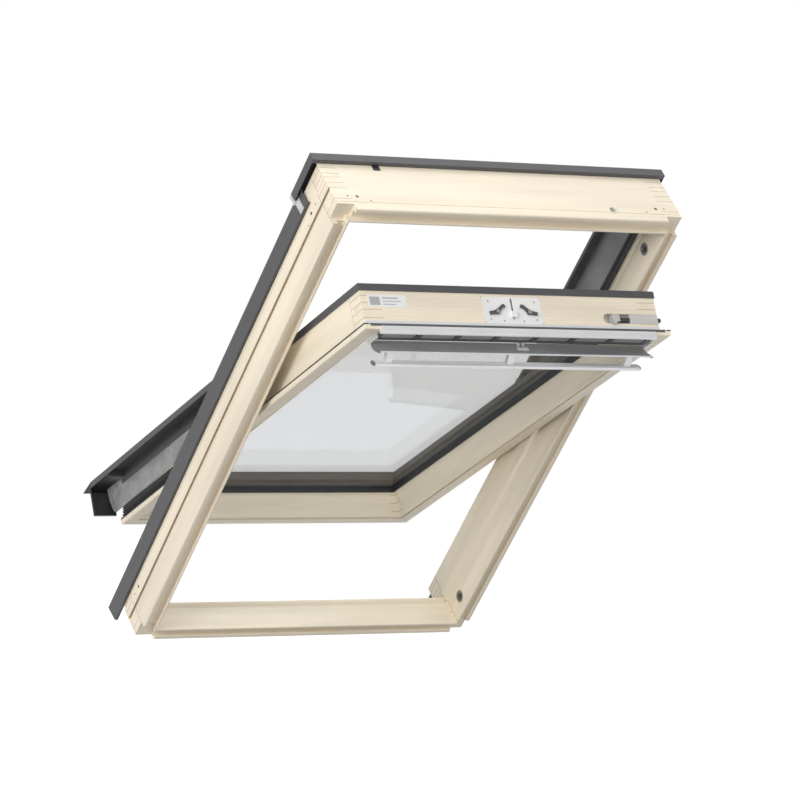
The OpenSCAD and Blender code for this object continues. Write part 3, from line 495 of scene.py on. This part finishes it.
# drawn aluminium and steel
drawn = {
    "cornerScrew": ("roof", ["frame_screws"],
                    {"colour": (0.13, 0.11, 0.09), "tone": 0.15, "roughness": 0.4, "metal": 0.6}),
    "liningScrew": ("roof", ["lining_screws"],
                    {"colour": (0.70, 0.70, 0.70), "tone": 0.08, "roughness": 0.3, "metal": 0.5}),
    "strapAluminium": ("roof", ["casing_straps"],
                       {"colour": (0.66, 0.67, 0.68), "tone": 0.05, "roughness": 0.42, "metal": 0.4}),
    "bushSteel": ("roof", ["bolt_bushes"],
                  {"colour": (0.24, 0.23, 0.21), "tone": 0.1, "roughness": 0.4, "metal": 0.4}),
    "spacerSteel": ("sash", ["spacer_bar"],
                    {"colour": (0.030, 0.030, 0.032), "tone": 0.08, "roughness": 0.45, "metal": 0.4}),
    "rivetSteel": ("sash", ["lock_rivets"],
                   {"colour": (0.52, 0.52, 0.52), "tone": 0.08, "roughness": 0.3}),
    "clawSteel": ("sash", ["claw_left", "claw_right"],
                  {"colour": (0.11, 0.11, 0.115), "tone": 0.12, "roughness": 0.4, "metal": 0.4}),
    "boltHousingSteel": ("sash", ["bolt_housing"],
                         {"colour": (0.66, 0.65, 0.63), "tone": 0.06, "roughness": 0.4, "metal": 0.35}),
    # a light knob, and past it a dark rod
    "boltSteel": ("sash", ["bolt"],
                  {"colour": (0.66, 0.66, 0.66), "tone": 0.1, "roughness": 0.32, "metal": 0.55,
                   "dark": (0.08, 0.08, 0.082), "darkPast": 0.2415}),
    "satinAluminium": ("sash", ["vent_bar", "bar_posts", "control_bar", "flap_brackets"],
                       {"colour": (0.74, 0.745, 0.755), "tone": 0.04, "roughness": 0.4, "metal": 0.35}),
    # painted shade and highlight bands: height above the closed sash's room face, half width, colour
    "trimAluminium": ("sash", ["vent_trim"],
                      {"colour": (0.76, 0.765, 0.78), "tone": 0.03, "roughness": 0.42, "metal": 0.2,
                       # dark painted shade: the shadow line of the trim's groove and the shaded flange below
                       # it
                       "shadeAndHighlightBands": [(0.0165, 0.0012, (0.16, 0.16, 0.165)),
                                 (0.0095, 0.0035, (0.11, 0.11, 0.115))]}),
    "flapAluminium": ("sash", ["flap_body"],
                      {"colour": (0.34, 0.345, 0.355), "tone": 0.05, "roughness": 0.42, "metal": 0.35,
                       # a light band of painted highlight along the flap's lower lip
                       "shadeAndHighlightBands": [(-0.0360, 0.0024, (0.76, 0.765, 0.775))]})}
for name, (plane, parts, look) in drawn.items():
    dress(parts, drawnMaterial(name, plane, look))

zinc = {"colour": (0.33, 0.33, 0.335), "crystal": 85.0, "roughness": 0.48, "metal": 0.35}
dress(["frame_hinges", "lock_keeper"], zincMaterial("zincFrame", "roof", zinc))
dress(["sash_hinges", "side_plate_left", "side_plate_right"], zincMaterial("zincSash", "sash", zinc))

glass = {"colour": (0.80, 0.808, 0.815), "second": (0.79, 0.80, 0.808), "roughness": 0.012, "bend": 1.12,
         "shadow": (0.88, 0.90, 0.90, 1.0)}
dress(["inner_pane", "outer_pane"], glassMaterial("floatGlass", glass))
print("metals, rubber, glass and plastic finished")

# data label on the sash's top rail, with plain fields in place of print
label = {"left": -0.318, "right": -0.234, "low": 0.052, "high": 0.077, "face": -0.5246,
         "thick": 0.0004, "corner": 0.0001}


def makeLabel():
    deselectAll()
    bpy.ops.mesh.primitive_plane_add(size=1.0, enter_editmode=True)
    piece = bpy.context.object
    bpy.ops.transform.resize(value=(label["right"] - label["left"], label["high"] - label["low"], 1))
    bpy.ops.mesh.extrude_region_move(TRANSFORM_OT_translate={"value": (0, 0, label["thick"])})
    bpy.ops.mesh.select_all(action="SELECT")
    bpy.ops.mesh.normals_make_consistent(inside=False)
    bpy.ops.object.mode_set(mode="OBJECT")
    rounding = piece.modifiers.new("corners", "BEVEL")
    rounding.width = label["corner"]
    rounding.segments = 2
    bpy.ops.object.modifier_apply(modifier=rounding.name)
    middle = ((label["left"] + label["right"]) / 2, label["face"], (label["low"] + label["high"]) / 2)
    putInPlace(piece, sashPlace @ Matrix.Translation(middle) @ Matrix.Rotation(math.radians(90), 4, "X"))
    piece.name = "data_label"
    return piece


def labelMaterial(look):
    mat, tree, shader, coords = newMaterial("plainLabel")
    flat = turned(tree, coords, -700, 0, slope["sash"])
    split = addNode(tree, "ShaderNodeSeparateXYZ", -500, 0)
    tree.links.new(flat, split.inputs[0])
    height = addMath(tree, "ADD", -320, -160, split.outputs[2], sashCorner["lift"])
    marks = None
    for left, right, low, high in look["fields"]:
        nearX = addMath(tree, "COMPARE", -160, 200, split.outputs[0], (left + right) / 2)
        nearX.node.inputs[2].default_value = (right - left) / 2
        nearZ = addMath(tree, "COMPARE", -160, 0, height, (low + high) / 2)
        nearZ.node.inputs[2].default_value = (high - low) / 2
        field = addMath(tree, "MULTIPLY", 0, 100, nearX, nearZ)
        marks = field if marks is None else addMath(tree, "MAXIMUM", 140, 100, marks, field)
    marks = addMath(tree, "MULTIPLY", 260, 100, marks, look["inkShare"])
    tree.links.new(addMix(tree, 400, 120, marks, look["paper"], look["ink"]), shader.inputs["Base Color"])
    surface = useGroup(tree, surfaceGroup, -320, -360, flat, **{"Cloud Scale": 20.0, "Grit Scale": 900.0})
    rough = addRange(tree, 200, -260, surface.outputs["Clouds"], 0.3, 0.7, 0.34, 0.42)
    tree.links.new(rough, shader.inputs["Roughness"])
    return mat


dataLabel = makeLabel()
dataLabel.data.materials.append(labelMaterial(
    {"paper": (0.84, 0.84, 0.83), "ink": (0.30, 0.30, 0.31), "inkShare": 0.75,
     "fields": [(-0.314, -0.292, 0.056, 0.073), (-0.286, -0.252, 0.069, 0.072),
                (-0.286, -0.246, 0.063, 0.065), (-0.286, -0.258, 0.057, 0.059)]}))
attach(dataLabel, "sash")
print("label made")

# white clip that stands up from the link bracket
clip = {"middle": 0.022, "width": 0.017, "low": -0.0105, "high": -0.0005, "face": -0.495,
        "thick": 0.0016, "edge": 0.0004}


def makeClip():
    deselectAll()
    bpy.ops.mesh.primitive_grid_add(x_subdivisions=3, y_subdivisions=3, size=1.0, enter_editmode=True)
    piece = bpy.context.object
    bpy.ops.transform.resize(value=(clip["width"], clip["high"] - clip["low"], 1))
    bpy.ops.mesh.select_all(action="DESELECT")
    mesh = bmesh.from_edit_mesh(piece.data)
    for face in mesh.faces:
        spot = face.calc_center_median()
        face.select_set(abs(spot.x) < clip["width"] / 6 and spot.y < 0.001)
    bmesh.update_edit_mesh(piece.data)
    bpy.ops.mesh.delete(type="FACE")
    bpy.ops.mesh.select_all(action="SELECT")
    bpy.ops.mesh.extrude_region_move(TRANSFORM_OT_translate={"value": (0, 0, clip["thick"])})
    bpy.ops.mesh.select_all(action="SELECT")
    bpy.ops.mesh.normals_make_consistent(inside=False)
    bpy.ops.object.mode_set(mode="OBJECT")
    rounding = piece.modifiers.new("edges", "BEVEL")
    rounding.width = clip["edge"]
    rounding.segments = 2
    bpy.ops.object.modifier_apply(modifier=rounding.name)
    middle = (clip["middle"], clip["face"], (clip["low"] + clip["high"]) / 2)
    putInPlace(piece, sashPlace @ Matrix.Translation(middle) @ Matrix.Rotation(math.radians(90), 4, "X"))
    piece.name = "link_clip"
    return piece


linkClip = makeClip()
linkClip.data.materials.append(nodes["link_bracket"].material_slots[0].material)
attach(linkClip, "flap")
print("link clip made")

# pale floor, soft light and the camera
studio = {"floorZ": -0.62, "floorSize": 60.0, "floorColour": (0.92, 0.92, 0.92, 1), "floorRoughness": 0.9,
          "floorGlow": 0.55, "white": 1.0, "skyHigh": 0.82, "skyLow": 0.42, "lowest": -0.5, "highest": 0.9}
bpy.ops.mesh.primitive_plane_add(size=studio["floorSize"], location=(0, 0, studio["floorZ"]))
floor = bpy.context.object
floor.name = "paleFloor"
floorMat, tree, shader, coords = newMaterial("paleFloor")
shader.inputs["Base Color"].default_value = studio["floorColour"]
shader.inputs["Roughness"].default_value = studio["floorRoughness"]
shader.inputs["Emission Color"].default_value = (1, 1, 1, 1)
shader.inputs["Emission Strength"].default_value = studio["floorGlow"]
floor.data.materials.append(floorMat)
floor.visible_diffuse = False

world = bpy.data.worlds.new("studioLight")
bpy.context.scene.world = world
world.use_nodes = True
tree = world.node_tree
tree.nodes.clear()
out = addNode(tree, "ShaderNodeOutputWorld", 700, 0)
dim = addNode(tree, "ShaderNodeBackground", 200, 100)
bright = addNode(tree, "ShaderNodeBackground", 200, -100)
bright.inputs["Color"].default_value = (1, 1, 1, 1)
bright.inputs["Strength"].default_value = studio["white"]
path = addNode(tree, "ShaderNodeLightPath", 0, 300)
mix = addNode(tree, "ShaderNodeMixShader", 480, 0)
where = addNode(tree, "ShaderNodeTexCoord", -700, 0)
split = addNode(tree, "ShaderNodeSeparateXYZ", -500, 0)
tree.links.new(where.outputs["Generated"], split.inputs[0])
up = addRange(tree, -300, 0, split.outputs[2], studio["lowest"], studio["highest"],
              studio["skyLow"], studio["skyHigh"])
tree.links.new(up, dim.inputs["Strength"])
# what the camera sees straight, or through clear glass, is white
seen = addMath(tree, "MAXIMUM", 200, 300, path.outputs["Is Camera Ray"], path.outputs["Is Transmission Ray"])
tree.links.new(seen, mix.inputs[0])
tree.links.new(dim.outputs[0], mix.inputs[1])
tree.links.new(bright.outputs[0], mix.inputs[2])
tree.links.new(mix.outputs[0], out.inputs["Surface"])

lamps = {"keyLeft": {"place": (-4.6, -2.2, 1.6), "size": 2.6, "power": 165},
         "overhead": {"place": (0.6, 0.4, 4.2), "size": 3.5, "power": 70},
         "frontFill": {"place": (-1.5, -6.0, 0.4), "size": 3.0, "power": 60}}
for name, lamp in lamps.items():
    bpy.ops.object.light_add(type="AREA", location=lamp["place"])
    light = bpy.context.object
    light.name = name
    light.data.size = lamp["size"]
    light.data.energy = lamp["power"]
    # each lamp aims at the window's middle
    light.rotation_mode = "QUATERNION"
    light.rotation_quaternion = Vector(lamp["place"]).to_track_quat("Z", "Y")

viewer = {"place": (-4.0096, -6.7770, -0.0945), "azimuth": 30.561, "elevation": 1.126,
          "lens": 176.75, "sensor": 36.0}
bpy.ops.object.camera_add(location=viewer["place"])
camera = bpy.context.object
camera.name = "viewer"
camera.data.lens = viewer["lens"]
camera.data.sensor_width = viewer["sensor"]
side, rise = math.radians(viewer["azimuth"]), math.radians(viewer["elevation"])
look = Vector((math.sin(side) * math.cos(rise), math.cos(side) * math.cos(rise), math.sin(rise)))
camera.rotation_mode = "QUATERNION"
camera.rotation_quaternion = look.to_track_quat("-Z", "Y")
bpy.context.scene.camera = camera
bpy.context.scene.view_settings.view_transform = "Standard"
print("studio and camera set")
